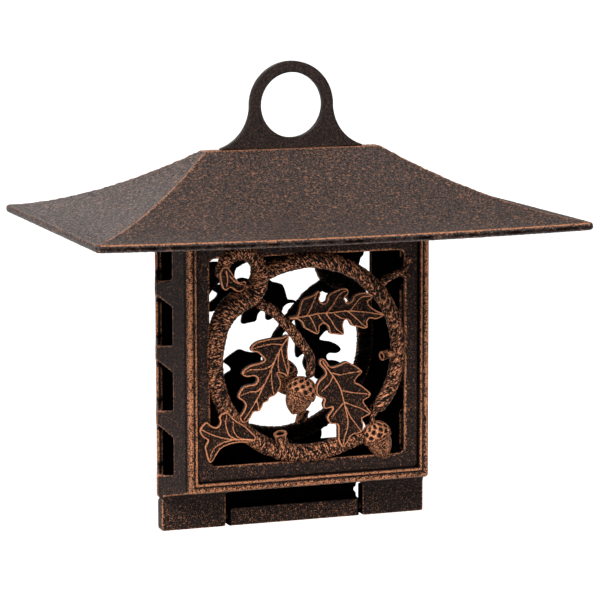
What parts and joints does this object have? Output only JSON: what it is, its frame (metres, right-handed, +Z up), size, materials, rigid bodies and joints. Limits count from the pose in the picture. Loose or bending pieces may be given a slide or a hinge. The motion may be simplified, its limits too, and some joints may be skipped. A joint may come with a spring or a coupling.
{
  "type": "hanging suet feeder",
  "caption": "Hanging cast suet feeder: hollow-sloped hipped roof with a hanger ring over a bottom-hinged box of two openwork oak-wreath panels.",
  "frame": {"origin": "centre of the hanger ring's hole, in the middle of the plate's thickness", "axes": "+X across the width, +Y from the front panel to the rear panel along the ring's hole, +Z up"},
  "size_m": [0.255, 0.18, 0.2373],
  "materials": {
    "cast_roof": "hammered dark bronze coat rubbed to copper on the edges",
    "cast_plate": "fine-textured dark bronze coat",
    "cast_openwork": "dark bronze coat rubbed to copper on the high points",
    "steel": "dull zinc plate"
  },
  "bodies": {
    "hung_body": {"roof": "cast_roof", "hanger_ring": "cast_plate", "hanger_pins": "steel", "rear_half": "cast_openwork", "roof_screws": "steel", "roof_washers": "steel"},
    "front_door": {"front_half": "cast_openwork", "hinge_pin": "steel", "latch_keeper": "cast_plate"},
    "latch": {"latch_button": "cast_plate", "latch_washer": "steel", "latch_push_nut": "steel"}
  },
  "joints": [
    {"name": "front_swing", "type": "hinge", "parent": "hung_body", "child": "front_door", "pos_m": [0, 0, -0.21025], "axis": [1, 0, 0], "range_deg": [0, 165]},
    {"name": "latch_turn", "type": "hinge", "parent": "hung_body", "child": "latch", "pos_m": [0, 0, -0.0485], "axis": [0, 1, 0], "range_deg": [0, 90]}
  ]
}
